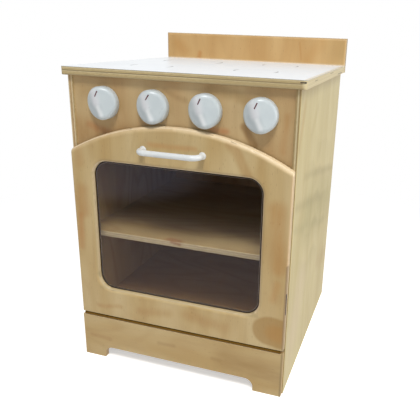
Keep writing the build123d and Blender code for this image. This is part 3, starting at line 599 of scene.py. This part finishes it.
def metal(name, s):
    material, tree, shader = newMaterial(name)
    place = addNode(tree, "ShaderNodeTexCoord").outputs["Object"]
    brush = stretchedNoise(tree, place, [side * mm for side in s["brush"]], 3)
    cloud = addNode(tree, "ShaderNodeTexNoise", {"Vector": place, "Scale": metalWear["cloud"], "Detail": 2})
    skin = layered(tree, colour(s["base"]), (colour(s["dull"]), cloud))
    # painted shade: darker from 103 mm up, where the door's bottom edge shades the hinge
    if "doorShade" in s:
        low, high, tone = s["doorShade"]
        doorShadeMask = addNode(tree, "ShaderNodeSeparateXYZ", [place]).outputs["Z"]
        doorShadeMask = addNode(tree, "ShaderNodeMapRange", [doorShadeMask, low * mm, high * mm, 0.0, metalWear["doorShadeShare"]])
        skin = layered(tree, skin, (colour(tone), doorShadeMask))
    rough = addNode(tree, "ShaderNodeMapRange", [brush, *noiseSpan, *s["rough"]])
    setSurface(tree, shader, skin, rough, brush, metalWear["relief"], {"Metallic": 1.0})
    return material


metalFinish = {name: metal(name, s) for name, s in metals.items()}
for nodeName in ("hinge_lower_leaf", "hinge_upper_leaf", "hinge_pin"):
    dress(nodeName, metalFinish["dulledShadedBrass"])
dress("catch_magnet", metalFinish["darkFerrite"])
dress("strike_plate", metalFinish["zincSteel"])
for number in range(1, 5):
    for part in ("spindle", "washer", "locknut"):
        dress(f"knob_{part}_{number}", metalFinish["zincSteel"])


# smoked cast acrylic: clear, brown-grey through the sheet, mirror-smooth, with faint wipe marks in its gloss
paneSet = dict(through="#D8CEC8", lamps="#ECE7E2", ior=1.4, rough=(0.02, 0.06), wipeTurn=(0, 0.5, 0),
               wipeScale=(6, 40, 40), wipeRange=(0.4, 0.8), middle=(-3.7, 0, 309.05), half=(174.5, 0, 138.45),
               corner=30, shadeLineMiddle=-1.2, shadeLineReach=(2.5, 1.4), shadeLineTone="#2A1A04")


def smokedAcrylic(s):
    material, tree, shader = newMaterial("smokedCastAcrylic")
    place = addNode(tree, "ShaderNodeTexCoord").outputs["Object"]
    wipe = addNode(tree, "ShaderNodeMapping", {"Vector": place, "Rotation": s["wipeTurn"], "Scale": s["wipeScale"]})
    haze = addNode(tree, "ShaderNodeTexNoise", {"Vector": wipe, "Scale": 1, "Detail": 3})
    haze = addNode(tree, "ShaderNodeMapRange", [haze, *s["wipeRange"], *s["rough"]])
    # painted shade: a dark line where the sheet meets the window's edge, by its distance from that rounded outline
    out = addNode(tree, "ShaderNodeVectorMath", {0: place, "Scale": 1 / mm}, operation="SCALE")
    out = addNode(tree, "ShaderNodeVectorMath", [out, s["middle"]], operation="SUBTRACT")
    out = addNode(tree, "ShaderNodeVectorMath", [out], operation="ABSOLUTE")
    straight = [max(side - s["corner"], 0) for side in s["half"]]
    for operation, by in (("SUBTRACT", straight), ("MAXIMUM", (0, 0, 0)), ("MULTIPLY", (1, 0, 1))):
        out = addNode(tree, "ShaderNodeVectorMath", [out, by], operation=operation)
    out = addNode(tree, "ShaderNodeVectorMath", [out], operation="LENGTH")
    out = addNode(tree, "ShaderNodeMath", [out, s["corner"] + s["shadeLineMiddle"]], operation="SUBTRACT")
    out = addNode(tree, "ShaderNodeMath", [out], operation="ABSOLUTE")
    shadeLine = addNode(tree, "ShaderNodeMapRange", [out, *s["shadeLineReach"]])
    clear = addNode(tree, "ShaderNodeMath", [1.0, shadeLine], operation="SUBTRACT")
    body = layered(tree, colour(s["through"]), (colour(s["shadeLineTone"]), shadeLine))
    feed(tree, shader, {"Base Color": body, "Roughness": haze, "IOR": s["ior"], "Transmission Weight": clear})
    # lamps shine straight through
    shaded = addNode(tree, "ShaderNodeLightPath").outputs["Is Shadow Ray"]
    passed = addNode(tree, "ShaderNodeBsdfTransparent", {"Color": colour(s["lamps"])})
    mixed = addNode(tree, "ShaderNodeMixShader", [shaded, shader, passed])
    feed(tree, tree.nodes["Material Output"], {"Surface": mixed})
    return material


dress("window_pane", smokedAcrylic(paneSet))
print("metals and pane dressed")


# one tree turns seat points into cross-head screws; sizes are shares of the head's radius, height or shank
screwSet = dict(headShare=0.62, slotWidth=0.24, slotDepth=0.55, slotReach=1.25, taper=0.25, sides=28, seed=7)
screwNodes = {
    "hob_batten_screws": ("cabinet", "zincSteel"), "floor_batten_screws": ("cabinet", "zincSteel"),
    "shelf_batten_screws": ("cabinet", "zincSteel"), "catch_screws": ("cabinet", "zincSteel"),
    "hinge_lower_screws": ("cabinet", "dulledShadedBrass"), "hinge_upper_screws": ("oven_door", "dulledShadedBrass"),
    "pane_screws": ("oven_door", "zincSteel"), "handle_screws": ("oven_door", "zincSteel"),
    "strike_screws": ("oven_door", "zincSteel"),
}


# the head centre, outward direction, head radius, shank radius and length of each screw in a CAD node
def screwSeats(node):
    work = bmesh.new()
    work.from_mesh(cad[node].data)
    bmesh.ops.remove_doubles(work, verts=work.verts, dist=sameSpot)
    seats, left = [], set(work.verts)
    while left:
        group, edge = set(), [left.pop()]
        while edge:
            vert = edge.pop()
            group.add(vert)
            near = {e.other_vert(vert) for e in vert.link_edges} & left
            left -= near
            edge += near
        points = [v.co.copy() for v in group]
        low = Vector([min(p[i] for p in points) for i in range(3)])
        high = Vector([max(p[i] for p in points) for i in range(3)])
        size = high - low
        axis = max(range(3), key=lambda i: size[i])
        side = (axis + 1) % 3
        middle = (low + high) / 2
        width = {end: max(abs(p[side] - middle[side]) for p in points if abs(p[axis] - end) < sameSpot)
                 for end in (low[axis], high[axis])}
        headEnd = max(width, key=width.get)
        centre = middle.copy()
        centre[axis] = headEnd
        outward = Vector((0, 0, 0))
        outward[axis] = 1 if headEnd == high[axis] else -1
        seats.append((centre, outward, width[headEnd], min(width.values()), size[axis]))
    work.free()
    return sorted(seats, key=lambda seat: seat[0][:])  # by place, so that each run sets them in the same order


# a solid moved down by a depth
def lowered(tree, solid, depth):
    down = addNode(tree, "ShaderNodeMath", [depth, -1.0], operation="MULTIPLY")
    down = addNode(tree, "ShaderNodeCombineXYZ", {"Z": down})
    return addNode(tree, "GeometryNodeTransform", {"Geometry": solid, "Translation": down})


def screwTree(s):
    tree = bpy.data.node_groups.new("crossHeadScrews", "GeometryNodeTree")
    face = tree.interface
    face.new_socket("Seats", in_out="INPUT", socket_type="NodeSocketGeometry")
    for label in ("Head Radius", "Head Height", "Shank Radius", "Length", "Slot Width", "Slot Depth"):
        face.new_socket(label, in_out="INPUT", socket_type="NodeSocketFloat")
    face.new_socket("Seed", in_out="INPUT", socket_type="NodeSocketInt")
    face.new_socket("Finish", in_out="INPUT", socket_type="NodeSocketMaterial")
    face.new_socket("Screws", in_out="OUTPUT", socket_type="NodeSocketGeometry")
    size = addNode(tree, "NodeGroupInput").outputs
    # countersunk head, wide end at the seat
    head = addNode(tree, "GeometryNodeMeshCone", {
        "Vertices": s["sides"], "Radius Top": size["Head Radius"], "Radius Bottom": size["Shank Radius"],
        "Depth": size["Head Height"]})
    head = lowered(tree, head, size["Head Height"])
    # cross slot
    across = addNode(tree, "ShaderNodeMath", [size["Head Radius"], s["slotReach"]], operation="MULTIPLY")
    deep = addNode(tree, "ShaderNodeMath", [size["Slot Depth"], 2.0], operation="MULTIPLY")
    bars = []
    for sides in ([across, size["Slot Width"], deep], [size["Slot Width"], across, deep]):
        block = addNode(tree, "ShaderNodeCombineXYZ", sides)
        bars.append(addNode(tree, "GeometryNodeMeshCube", {"Size": block}))
    cut = addNode(tree, "GeometryNodeMeshBoolean", {"Mesh 1": head}, operation="DIFFERENCE")
    for bar in reversed(bars):
        feed(tree, cut, {"Mesh 2": bar})
    # shank with a drawn point
    tip = addNode(tree, "ShaderNodeMath", [size["Shank Radius"], s["taper"]], operation="MULTIPLY")
    below = addNode(tree, "ShaderNodeMath", [size["Length"], size["Head Height"]], operation="SUBTRACT")
    shank = addNode(tree, "GeometryNodeMeshCone", {
        "Vertices": s["sides"] // 2, "Radius Top": size["Shank Radius"], "Radius Bottom": tip, "Depth": below})
    screw = addNode(tree, "GeometryNodeJoinGeometry", [lowered(tree, shank, size["Length"])])
    feed(tree, screw, [cut])
    # one on each seat, turned at random about its own axis
    outward = addNode(tree, "GeometryNodeInputNamedAttribute", {"Name": "outward"}, data_type="FLOAT_VECTOR")
    aim = addNode(tree, "FunctionNodeAlignRotationToVector", {"Vector": outward}, axis="Z")
    spin = addNode(tree, "FunctionNodeRandomValue", {3: math.pi, "Seed": size["Seed"]}, data_type="FLOAT")
    turn = addNode(tree, "FunctionNodeAxisAngleToRotation", {"Axis": (0, 0, 1), "Angle": spin})
    aim = addNode(tree, "FunctionNodeRotateRotation", [aim, turn], rotation_space="LOCAL")
    placed = addNode(tree, "GeometryNodeInstanceOnPoints", {"Points": size["Seats"], "Instance": screw,
                                                            "Rotation": aim})
    real = addNode(tree, "GeometryNodeRealizeInstances", [placed])
    done = addNode(tree, "GeometryNodeSetMaterial", {"Geometry": real, "Material": size["Finish"]})
    addNode(tree, "NodeGroupOutput", [done])
    return tree


# sizes for one modifier, by the names of its inputs
def setInputs(modifier, values):
    for item in modifier.node_group.interface.items_tree:
        if item.item_type == "SOCKET" and item.in_out == "INPUT" and item.name in values:
            modifier[item.identifier] = values[item.name]


# the evaluated result as a plain mesh object, riding on one body
def settle(source, name, body, node):
    graph = bpy.context.evaluated_depsgraph_get()
    mesh = bpy.data.meshes.new_from_object(source.evaluated_get(graph))
    mesh.name = name
    piece = bpy.data.objects.new(name, mesh)
    bpy.context.collection.objects.link(piece)
    bpy.data.objects.remove(source)
    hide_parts(node)
    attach(piece, body)


screws = screwTree(screwSet)
for nodeName, (bodyName, finish) in screwNodes.items():
    seats = screwSeats(nodeName)
    radius, shankRadius, length = seats[0][2:]
    headHeight = radius * screwSet["headShare"]
    points = bpy.data.meshes.new(nodeName + "Seats")
    points.from_pydata([seat[0] for seat in seats], [], [])
    outward = points.attributes.new("outward", "FLOAT_VECTOR", "POINT")
    for i, seat in enumerate(seats):
        outward.data[i].vector = seat[1]
    carrier = bpy.data.objects.new(nodeName + "Seats", points)
    bpy.context.collection.objects.link(carrier)
    modifier = carrier.modifiers.new("screws", "NODES")
    modifier.node_group = screws
    setInputs(modifier, {
        "Head Radius": radius, "Head Height": headHeight, "Shank Radius": shankRadius, "Length": length,
        "Slot Width": radius * screwSet["slotWidth"], "Slot Depth": headHeight * screwSet["slotDepth"],
        "Seed": screwSet["seed"], "Finish": metalFinish[finish]})
    settle(carrier, nodeName.replace("_", "-") + "-crossHead", bodyName, nodeName)
print("screws set:", len(screwNodes), "groups")
